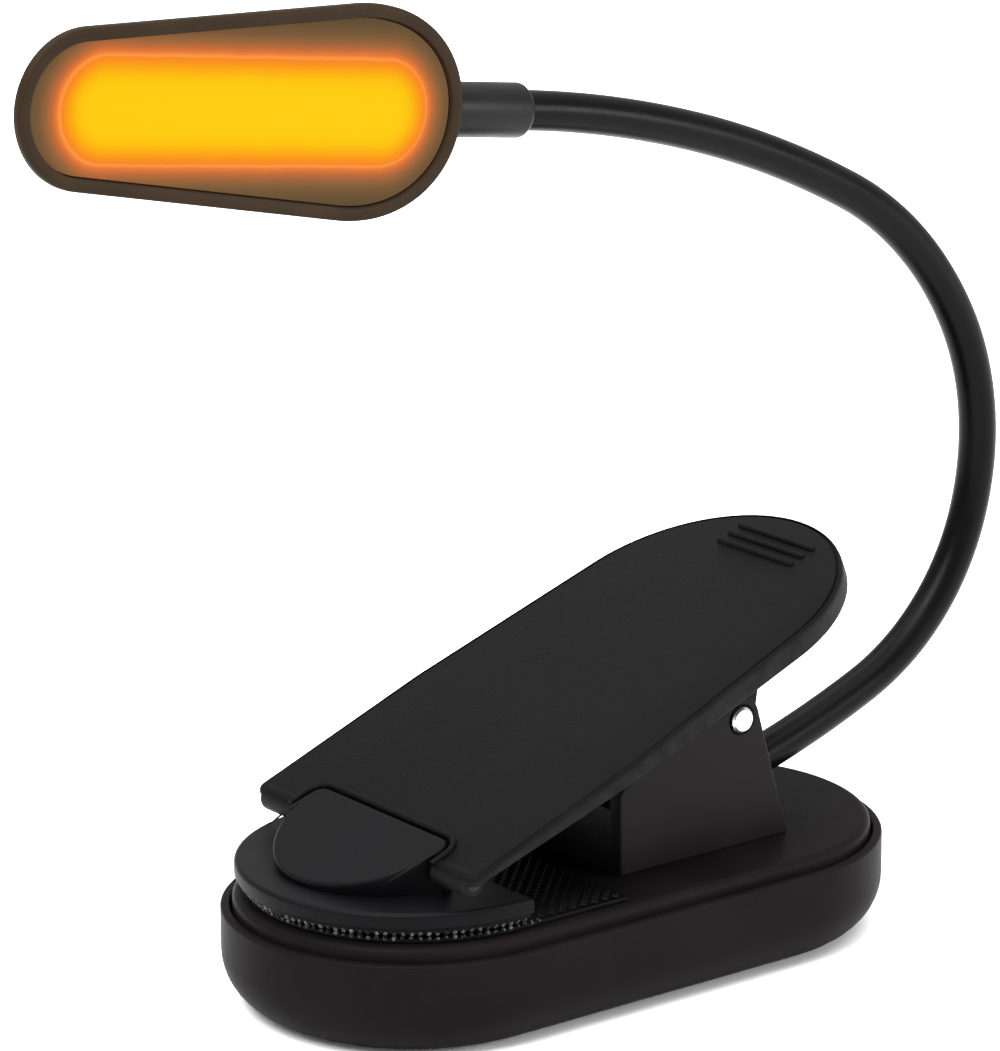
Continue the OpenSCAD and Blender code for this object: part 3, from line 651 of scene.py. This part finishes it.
def base_housing():
    """The tray: a soft lower edge, a rim with a ledge inside it, two slots and screw holes."""
    profile = [(BOTTOM_R + 0.5, 0)] + foot_edge(BOTTOM_R, 0, 12)
    profile += [(0, RIM_H - RIM_ROUND - SUPPORT)] + top_edge(RIM_ROUND, RIM_H, 5)
    profile += [(RIM_T - 0.15, RIM_H), (RIM_T, RIM_H - 0.15), (RIM_T, LEDGE_Z), (WALL, LEDGE_Z)]
    profile += [(WALL, 5.5), (WALL + 1.1, FLOOR_T + 1.1), (WALL + 3.7, FLOOR_T), (WALL + 6, FLOOR_T)]
    shell = Shape().loft(drawn_in(pill(BASE_L, BASE_W, 40), profile))
    piece = place("base_housing_shell", shell)
    socket, button = box_mm("usb_c_socket")[2], box_mm("power_button")[2]
    holes = Shape()
    holes.plate(pill(*SOCKET_SLOT), 0, 8, 0.1, 0.1, at(38, 0, socket.z, ACROSS_END))
    holes.plate(pill(*BUTTON_SLOT), 0, 7, 0.1, 0.1, at(button.x, 26, button.z, UPRIGHT))
    recess = [(1.9, -1), (2.5, -0.5), (2.5, 0.0), (2.2, 0.25), (2.2, 2.1), (1.8, 2.1)]
    for x, y in POSTS:
        holes.solid(recess, at(x, y, 0), 32)
    cut(piece, holes)
    dress(piece, "base", "black_shell", housing_black, "base_housing")


def base_cover():
    """The lid, which rounds over at its top edge."""
    side = [(0.2, LEDGE_Z), (0, LEDGE_Z + 0.2), (0, COVER_TOP - COVER_ROUND - SUPPORT)]
    profile = side + top_edge(COVER_ROUND, COVER_TOP, 8) + [(COVER_ROUND + 0.2, COVER_TOP)]
    outline = inset(pill(BASE_L, BASE_W, 40), COVER_INSET)
    piece = place("base_cover_lid", Shape().loft(drawn_in(outline, profile)))
    dress(piece, "base", "black_shell", housing_black, "base_cover")


def power_button():
    """The cap of the button, without the flange that holds it behind the wall."""
    low, high, middle = box_mm("power_button")
    flange, depth = 0.8, 2.6
    outline = pill(high.x - low.x - 2 * flange, high.z - low.z - 2 * flange)
    shape = Shape().plate(outline, -depth, 0, 0.1, 0.35)
    piece = place("power_button_cap", shape, at(middle.x, high.y, middle.z, FACING_BACK))
    dress(piece, "button", "black_lever", lever_black, "power_button")


def usb_socket():
    """A steel shell, open to the rear, with its tongue."""
    low, high, middle = box_mm("usb_c_socket")
    size, wall, edge = high - low, 0.3, 0.1
    start = at(low.x, 0, middle.z, ACROSS_END)
    profile = [(0, 0), (0, size.x - edge), (edge, size.x), (wall - edge / 2, size.x),
               (wall, size.x - edge), (wall, 1.0)]
    shell = Shape().loft(drawn_in(pill(size.y, size.z), profile))
    dress(place("usb_shell", shell, start), "base", "steel", steel, "usb_c_socket")
    half_w, half_t, corner_r = 3.3, 0.33, 0.1
    tongue = rounded([(-half_w, -half_t, corner_r), (half_w, -half_t, corner_r),
                      (half_w, half_t, corner_r), (-half_w, half_t, corner_r)])
    piece = place("usb_tongue", Shape().plate(tongue, 0.9, size.x - 1, 0.05, 0.15), start)
    dress(piece, "base", "steel", switch_black)


# ---- Grips and jaw ------------------------------------------------------------------


def stud(shape, x, y, z, up):
    """A small blunt pyramid that stands on z, or hangs from it if up is -1."""
    sizes = [(0.62, -0.1), (0.62, 0.0), (0.3, STUD_H - 0.05), (0.18, STUD_H)]
    rings = [[(x + s, y, z + up * h), (x, y + s * up, z + up * h), (x - s, y, z + up * h),
              (x, y - s * up, z + up * h)] for s, h in sizes]
    shape.loft(rings)


def studs(shape, inside, x_from, x_to, z, up):
    """Staggered rows of studs, wherever inside(x, y) holds."""
    steps, rows = ceil((x_to - x_from) / STUD_PITCH * 2), ceil(2 * JAW_R / STUD_PITCH)
    for i in range(steps):
        for j in range(-rows, rows + 1):
            x = x_to - 0.8 - i * STUD_PITCH / 2
            y = (j + i % 2 / 2) * STUD_PITCH
            if inside(x, y):
                stud(shape, x, y, z, up)


def beads(shape, line, z, first):
    """Beads at an even pitch along a line, the ends of the rows of studs."""
    todo, along = first, 0.0
    for (x, y), (x1, y1) in zip(line, line[1:]):
        length = hypot(x1 - x, y1 - y)
        while todo < along + length:
            t = (todo - along) / length
            bead(shape, x + (x1 - x) * t, y + (y1 - y) * t, z)
            todo += BEAD_PITCH
        along += length


def bead(shape, x, y, z):
    """A small ball."""
    profile = [(BEAD_R * sin(a), -BEAD_R * cos(a)) for a in (0.25, 0.9, 1.57, 2.24, 2.9)]
    shape.solid(profile, at(x, y, z), 10)


def lower_mat():
    """The rubber mat on the cover, studded, with beads round its front."""
    slab_top, bead_r = COVER_TOP + MAT_T - STUD_H, MAT_R - 0.2
    shape = Shape().plate(mat_outline(), COVER_TOP, slab_top, 0.08, 0.12)

    def inside(x, y):
        if x > MAT_X:
            return x < MAT_END - 0.7 and abs(y) < MAT_R - 0.8
        return hypot(x - MAT_X, y) < MAT_R - 0.8

    studs(shape, inside, -40, MAT_END, slab_top, 1)
    front = arc((MAT_X, 0), bead_r, 90, 270, 40)
    edge = Shape()
    beads(edge, [(MAT_X + 3, bead_r)] + front + [(MAT_X + 3, -bead_r)], slab_top - 0.06, 0.4)
    dress(place("lower_mat_beads", edge, smooth=25), "base", "rubber", bead_rubber)
    piece = place("lower_mat_rubber", shape, smooth=25)
    dress(piece, "base", "rubber", grip_rubber_painted_shade, "lower_grip_mat")


def upper_pad():
    """The rubber pad under the jaw's disc, with studs that hang from it and beads."""
    outline = half_disc(JAW_R - GRIP_INSET, JAW_CUT)
    slab_low = GRIP_Z + STUD_H
    shape = Shape().plate(outline, slab_low, GRIP_Z + GRIP_T, 0.12, 0.08)

    def inside(x, y):
        return x < JAW_CUT - 0.7 and hypot(x - JAW_X, y) < JAW_R - 1.4

    studs(shape, inside, -41, JAW_CUT, slab_low, -1)
    edge = Shape()
    beads(edge, inset(outline, 0.2), slab_low + 0.06, 1.0)
    dress(place("upper_pad_beads", edge, smooth=25), "jaw", "rubber", bead_rubber)
    piece = place("upper_pad_rubber", shape, smooth=25)
    dress(piece, "jaw", "rubber", grip_rubber_painted_shade, "upper_grip_pad")


def jaw_pad():
    """A level disc, and a boss that leans with the lever and rises through its notch."""
    disc_z = GRIP_Z + GRIP_T
    shape = Shape().plate(half_disc(JAW_R, JAW_CUT), disc_z, disc_z + DISC_T, 0.1, 0.55, steps=7)
    pitch, foot_z = radians(LEVER_PITCH), disc_z + 1
    stem = boss_outline(BOSS_RELIEF)
    foot = [(x, y, (foot_z - LEVER_Z - x * sin(pitch)) / cos(pitch)) for x, y in stem]
    shape.loft([foot, [(x, y, -0.9) for x, y in stem]], LEVER_FRAME)
    shape.plate(boss_outline(0), BOSS_RISE - BOSS_CAP_T, BOSS_RISE, 0.1, 0.5, LEVER_FRAME, steps=7)
    dress(place("jaw_pad_shell", shape), "jaw", "black_shell", jaw_black, "jaw_pad")


# ---- Bracket, pin and spring --------------------------------------------------------


def rear_wall_x(z):
    """Where the bracket's leaning rear edge is at a height."""
    (x0, z0), (x1, z1) = bracket_outline()[:2]
    return x0 + (x1 - x0) * (z - z0) / (z1 - z0)


def upright_box(shape, x_low, x_high, top_low, top_high, top, half_w):
    """A wall on the cover, from its x at the foot to its x at the top."""
    outline = [(x_low, COVER_TOP), (x_high, COVER_TOP), (top_high, top), (top_low, top)]
    shape.plate(outline, 0, 2 * half_w, 0.15, 0.15, at(0, half_w, 0, UPRIGHT))


def pivot_bracket():
    """Two side plates, the walls, saddle and floor between them, and four screw bosses."""
    shape = Shape()
    for y in (-EAR_Y + EAR_T, EAR_Y):
        shape.plate(bracket_outline(), 0, EAR_T, 0.22, 0.22, at(0, y, 0, UPRIGHT))
    half_w, wall, sunk = EAR_Y - EAR_T + 0.3, BRACKET_WALL, 0.02
    front, rear, rear_top = BRACKET_FRONT + sunk, BRACKET_REAR - sunk, rear_wall_x(WALL_TOP) - sunk
    upright_box(shape, front, BRACKET_FRONT + wall, front, BRACKET_FRONT + wall, WALL_TOP, half_w)
    upright_box(shape, rear - wall, rear, rear_top - wall, rear_top, WALL_TOP, half_w)
    saddle_x, saddle_z = 17.3, 19.5
    saddle_top = rear_wall_x(saddle_z) - 1
    upright_box(shape, saddle_x, BRACKET_REAR - 1, saddle_x, saddle_top, saddle_z, 4.5)
    floor_x = (BRACKET_FRONT + 1, saddle_x + 0.1)
    upright_box(shape, *floor_x, *floor_x, COVER_TOP + 1.2, half_w)
    boss = [(2.5, 0), (2.5, 5.2), (2.2, 5.5), (1.1, 5.5)]
    for x in (4.5, 13):
        for y in (-7.2, 7.2):
            shape.solid(boss, at(x, y, COVER_TOP), 32)
    piece = place("pivot_bracket_shell", shape)
    bore_r, sink, half = PIN_R + 0.1, 0.35, EAR_Y + 0.1
    bore = [(bore_r + sink, -half), (bore_r, -half + sink + 0.1), (bore_r, half - sink - 0.1),
            (bore_r + sink, half)]
    cut(piece, Shape().solid(bore, PIN_AXIS, 48))
    dress(piece, "base", "black_shell", bracket_black, "pivot_bracket")


def pivot_pin():
    """A steel pin with domed ends that have a small dimple."""
    half, r = EAR_Y + 0.45, PIN_R
    end = [(0.35, half - 0.12), (0.75, half - 0.02), (1.0, half), (r - 0.25, half - 0.03),
           (r, half - 0.3)]
    profile = [(a, -b) for a, b in end] + end[::-1]
    piece = place("pivot_pin_steel", Shape().solid(profile, PIN_AXIS, 48))
    dress(piece, "base", "steel", steel, "pivot_pin")


def torsion_spring():
    """A coil about the pin, with a leg under the lever and one on the bracket's floor."""
    start, end, steps = 128, 210, 220
    sweep = 360 * SPRING_TURNS + end - start
    half_w = SPRING_PITCH * sweep / 360 / 2
    centre = Vector((PIN[0], 0, PIN[1]))

    def around(a):
        return Vector((cos(radians(a)), 0, sin(radians(a))))

    coil = [centre + around(start + sweep * k / steps) * SPRING_R
            + Vector((0, half_w * (2 * k / steps - 1), 0)) for k in range(steps + 1)]
    upper, lower = around(start - 90), around(end + 90)
    path = [coil[0] + upper * s for s in (14, 9, 4, 1)] + coil
    path += [coil[-1] + lower * s for s in (1, 3.5, 7.1)]
    piece = place("torsion_spring_wire", Shape().sweep(path, SPRING_WIRE_R), smooth=50)
    dress(piece, None, "steel", steel, "torsion_spring")
    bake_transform(piece)


# ---- Lever --------------------------------------------------------------------------


def skirt(x):
    """Depth of the lever's skirt, which grows from the fork to the thumb end."""
    for (x0, depth0), (x1, depth1) in zip(SKIRT, SKIRT[1:]):
        if x < x1:
            return depth0 + (depth1 - depth0) * max(0.0, (x - x0) / (x1 - x0))
    return depth1


def lever_plate(shape):
    """The plate: a groove along its top edge, a rounded side band, and its hollow."""
    top_r, foot_r, groove = 0.7, 0.45, 0.32

    def side(x, y):
        """1 along the lever's long edges and its thumb end, 0 round the notch."""
        return max(0.0, min(1.0, (hypot(max(x, 0), y) - 14.6) / 1.5, (x - FORK_END - 2) / 3))

    def ring(d, height):
        return [(x, y, height(x, y)) for x, y in lever_outline(d)]

    def hollow(x):
        return -min(PLATE_T, skirt(x) - 0.25)

    rings = [ring(SKIRT_T, lambda x, y: hollow(x)), ring(SKIRT_T, lambda x, y: 0.1 - skirt(x)),
             ring(SKIRT_T - 0.15, lambda x, y: -skirt(x))]
    for d, rise in foot_edge(foot_r, 0, 4):
        rings.append(ring(d, lambda x, y, rise=rise: rise - skirt(x)))
    for d, rise in top_edge(top_r, -0.05, 7):
        rings.append(ring(d * 0.55, lambda x, y, rise=rise: rise))
    for d, depth in ((0.42, 1), (0.6, 1), (0.72, 0.2), (0.85, 0)):
        rings.append(ring(d, lambda x, y, depth=depth: -groove * depth * side(x, y)))
    shape.loft(rings)


def notch_lip(shape):
    """A raised round lip along the notch."""
    half, foot = LIP_W / 2, 0.1
    x, y, r = NOTCH_END + half, NOTCH_HALF_W + half, NOTCH_R + half
    front = FORK_END + 0.75
    line = rounded([(front, -y, 0), (x, -y, r), (x, y, r), (front, y, 0)])
    crown = [(half * cos(a), foot + (LIP_H - foot) * sin(a)) for a in quarter(5)[1:]]
    mirrored = [(-u, w) for u, w in crown[-2::-1]]
    section = [(-half, -foot), (half, -foot), (half, foot)] + crown + mirrored + [(-half, foot)]
    rings = []
    for k, (px, py) in enumerate(line):
        (x0, y0), (x1, y1) = line[max(k - 1, 0)], line[min(k + 1, len(line) - 1)]
        length = hypot(x1 - x0, y1 - y0)
        nx, ny = (y1 - y0) / length, (x0 - x1) / length
        rings.append([(px + nx * u, py + ny * u, w) for u, w in section])
    shape.loft(rings)


def clip_lever():
    """The plate with its lip, two ribs and two ears below, the prongs' noses and ridges."""
    shape = Shape()
    lever_plate(shape)
    notch_lip(shape)
    rib, rib_t = [(-16, -1.7), (-6, -2.15), (15, -2.6), (15, -1.2), (-16, -1.2)], 1.2
    for y in (-6.5, 6.5):
        shape.plate(rib, 0, rib_t, 0.1, 0.1, at(0, y + rib_t / 2, 0, UPRIGHT))
    pin = LEVER_FRAME.inverted() @ Vector((PIN[0], 0, PIN[1]))
    ear = [(5, -1)] + arc((pin.x, pin.z), 4, 160, 340, 24) + [(24, -1)]
    for y in (-8, 10):
        shape.plate(ear, 0, 2, 0.12, 0.12, at(0, y, 0, UPRIGHT))
    nose = arc(JAW_PIN, NOSE_R, 0, 360, 32)[:-1]
    for y in (-NOTCH_HALF_W, NOTCH_HALF_W + NOSE_W):
        shape.plate(nose, 0, NOSE_W, 0.5, 0.5, at(0, y, 0, UPRIGHT), steps=5)
    across = Matrix.Rotation(pi / 2, 4, "Z")
    for x in RIDGES_X:
        shape.plate(pill(RIDGE_L, RIDGE_W, 8), 0, 0.45, 0.05, 0.33, at(x, 0, -0.1, across), steps=5)
    piece = place("clip_lever_shell", shape, LEVER_FRAME)
    dress(piece, "lever", "black_lever", lever_black, "clip_lever")


# ---- Gooseneck ----------------------------------------------------------------------


def neck_point(i, s):
    """The point at distance s along stretch i, and the neck's direction there."""
    start, heading = Vector((NECK_START[0], 0, NECK_START[1])), NECK_HEADING
    for k in range(i + 1):
        length = STRETCH if k < i else s
        turn = TURNS[k] * length / STRETCH
        r = STRETCH / radians(TURNS[k])
        a, b = radians(heading), radians(heading + turn)
        start = start + Vector((r * (sin(b) - sin(a)), 0, r * (cos(a) - cos(b))))
        heading += turn
    return start, Vector((cos(radians(heading)), 0, sin(radians(heading))))


def neck_at(s):
    """The point at distance s from the neck's start."""
    i = min(int(s // STRETCH), len(TURNS) - 1)
    return neck_point(i, s - i * STRETCH)[0]


def neck_path(from_s, to_s, step=0.9):
    """Points along the neck between two distances from its start."""
    count = ceil((to_s - from_s) / step)
    return [neck_at(from_s + (to_s - from_s) * k / count) for k in range(count + 1)]


def gooseneck():
    """One sleeve, split at the middle of each stretch, so that each piece has one joint."""
    joints = [SWING_AT] + [STRETCH * k for k in range(1, len(TURNS))]
    cuts = [0.0] + [STRETCH * (k + 0.5) for k in range(len(TURNS))]
    for k, s in enumerate(joints):
        shape = Shape().sweep(neck_path(cuts[k], cuts[k + 1]), NECK_R, 32, BORE_R)
        piece = place(f"neck_rubber_{k + 1}", shape)
        dress(piece, None, "rubber", neck_rubber, f"neck_sleeve_{k + 1}")
        start, end = max(s - BEND_REACH, 0.5), min(s + BEND_REACH, cuts[k + 1] - 1)
        neck_at(start) * MM
        neck_at(end) * MM
        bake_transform(piece)
    last, ahead = neck_point(len(TURNS) - 1, STRETCH)
    path = neck_path(cuts[-1], NECK_L) + [last + ahead * s for s in (0.8, 1.6, 2.9)]
    piece = place(f"neck_rubber_{len(TURNS) + 1}", Shape().sweep(path, NECK_R, 32, BORE_R))
    dress(piece, f"neck_{len(TURNS)}", "rubber", neck_rubber, f"neck_sleeve_{len(TURNS)}")


# ---- Head ---------------------------------------------------------------------------


def head_collar():
    """The short tube that takes the neck's end."""
    bore, stop = NECK_R + 0.08, 3.3
    profile = [(bore, 0.1), (bore + 0.1, 0), (2.5, 0), (3.0, 0.62), (COLLAR_R, 0.8),
               (COLLAR_R, COLLAR_L), (1.2, COLLAR_L), (1.2, stop), (bore, stop)]
    piece = place("head_collar_sleeve", Shape().turned(profile, TOWARDS_TIP, 48), HEAD_FRAME)
    dress(piece, "head", "black_shell", collar_black, "head_collar")


def head_shell():
    """The back: it draws in steadily behind the rim, and a boss on it takes the collar."""
    depth, steps, edge, draft = SEAM_Y - BACK_Y, 16, 0.9, 4.0
    profile = []
    for k in range(steps + 1):
        t = k / steps
        profile.append((edge + draft * (0.84 * t + 0.16 * (1 - sqrt(1 - t * t))), SEAM_Y - depth * t))
    profile += [(5.4, BACK_Y), (8.0, BACK_Y)]
    rings = [[(x, y, w) for x, y in head_outline(d)] for d, w in reversed(profile)]
    shape = Shape().loft(rings)
    boss = [(0.6, 0), (2.1, 0), (2.3, 0.2), (2.3, 4.4), (1.8, 5.2), (0.6, 5.2)]
    shape.solid(boss, UPRIGHT.inverted() @ at(BOSS_AT, 0, 0, TOWARDS_TIP), 40)
    piece = place("head_back_cap", shape, HEAD_PLATE)
    dress(piece, "head", "black_shell", collar_black, "head_back_shell")


def head_rim():
    """The ring round the face, rounded outside and chamfered inside."""
    outer, width, chamfer = 0.5, HEAD_RIM_W, 0.3
    profile = [(0.2, SEAM_Y), (0, SEAM_Y + 0.15), (0, FACE_Y - outer)] + top_edge(outer, FACE_Y, 6)
    profile += [(width - chamfer, FACE_Y), (width - 0.08, FACE_Y - 0.12), (width, FACE_Y - chamfer)]
    profile += [(width, SEAM_Y)]
    rings = [[(x, y, w) for x, y in head_outline(d)] for d, w in profile]
    piece = place("head_rim_ring", Shape().loft(rings, tube=True), HEAD_PLATE)
    dress(piece, "head", "black_shell", head_black_painted_spill, "head_bezel")


def head_face():
    """The smoked plate inside the rim, and the slightly raised window on it."""
    outline = head_outline(HEAD_RIM_W + 0.14)
    plate = Shape().plate(outline, SEAM_Y - 0.1, GLASS_Y, 0.05, 0.18)
    piece = place("head_face_plate", plate, HEAD_PLATE)
    dress(piece, "head", "smoked_cover", smoked_face, "light_cover")
    lens = [(x + WINDOW_X, y) for x, y in pill(WINDOW_L, WINDOW_W, 32)]
    window = Shape().plate(lens, GLASS_Y - 0.2, GLASS_Y + 0.16, 0.05, 0.14)
    dress(place("head_window_lens", window, HEAD_PLATE), "head", "smoked_cover", smoked_face)


# ---- Stage --------------------------------------------------------------------------


def floor(size, dark, light):
    """A square sheet of pale paper under the lamp."""
    mesh = bpy.data.meshes.new("floor")
    corners = [(-size, -size, 0), (size, -size, 0), (size, size, 0), (-size, size, 0)]
    mesh.from_pydata(corners, [], [(0, 1, 2, 3)])
    plane = bpy.data.objects.new("floor", mesh)
    bpy.context.scene.collection.objects.link(plane)
    n = Nodes("floor_paper")
    n.drive(Base_Color=n.ramp(n.noise(60, 2), [(0.3, (*[dark] * 3, 1)), (0.7, (*[light] * 3, 1))]))
    n.set(Roughness=0.9, Specular_IOR_Level=0.1)
    mesh.materials.append(n.material)


def world(colour, strength):
    """Even light from all around."""
    made = bpy.data.worlds.new("studio")
    made.use_nodes = True
    background = made.node_tree.nodes["Background"]
    background.inputs["Color"].default_value = colour
    background.inputs["Strength"].default_value = strength
    bpy.context.scene.world = made


def softbox(name, azimuth, elevation, distance, size, power):
    """A square light that faces the lamp. Azimuth 0 is in front of it, at -Y."""
    a, e = radians(azimuth), radians(elevation)
    back = Vector((sin(a) * cos(e), -cos(a) * cos(e), sin(e)))
    data = bpy.data.lights.new(name, "AREA")
    data.energy, data.shape, data.size = power, "SQUARE", size
    light = bpy.data.objects.new(name, data)
    light.location = Vector((0, 0, 0.05)) + back * distance
    light.rotation_euler = back.to_track_quat("Z", "Y").to_euler()
    bpy.context.scene.collection.objects.link(light)


def camera():
    """Looks along +X and +Y, slightly down, at the angle from which the lamp is shown."""
    azimuth, elevation, roll = radians(37.275), radians(16.059), radians(-0.3864)
    distance, shift_right, shift_up = 0.631416, -0.006578, -0.049346
    ahead = Vector((sin(azimuth) * cos(elevation), cos(azimuth) * cos(elevation), -sin(elevation)))
    right = Vector((cos(azimuth), -sin(azimuth), 0))
    up = right.cross(ahead)
    right, up = right * cos(roll) + up * sin(roll), up * cos(roll) - right * sin(roll)
    data = bpy.data.cameras.new("camera")
    data.lens, data.sensor_width, data.clip_start = 188.39, 36, 0.01
    made = bpy.data.objects.new("camera", data)
    turn = Matrix((right, up, -ahead)).transposed().to_4x4()
    made.matrix_world = at(*(right * shift_right - up * shift_up - ahead * distance), turn)
    bpy.context.scene.collection.objects.link(made)
    bpy.context.scene.camera = made


# ---- The lamp and its stage ---------------------------------------------------------

dress_cad()
base_housing()
base_cover()
power_button()
usb_socket()
lower_mat()
upper_pad()
jaw_pad()
pivot_bracket()
pivot_pin()
torsion_spring()
clip_lever()
gooseneck()
head_collar()
head_shell()
head_rim()
head_face()

floor(8.0, 0.95, 0.97)
world((1.0, 1.0, 1.0, 1), 0.95)
softbox("top", 0, 90, 1.5, 2.4, 62)
softbox("key", -70, 50, 1.2, 0.6, 16)
softbox("fill", 40, 14, 1.2, 0.4, 9)
camera()
bpy.context.scene.view_settings.view_transform = "Standard"
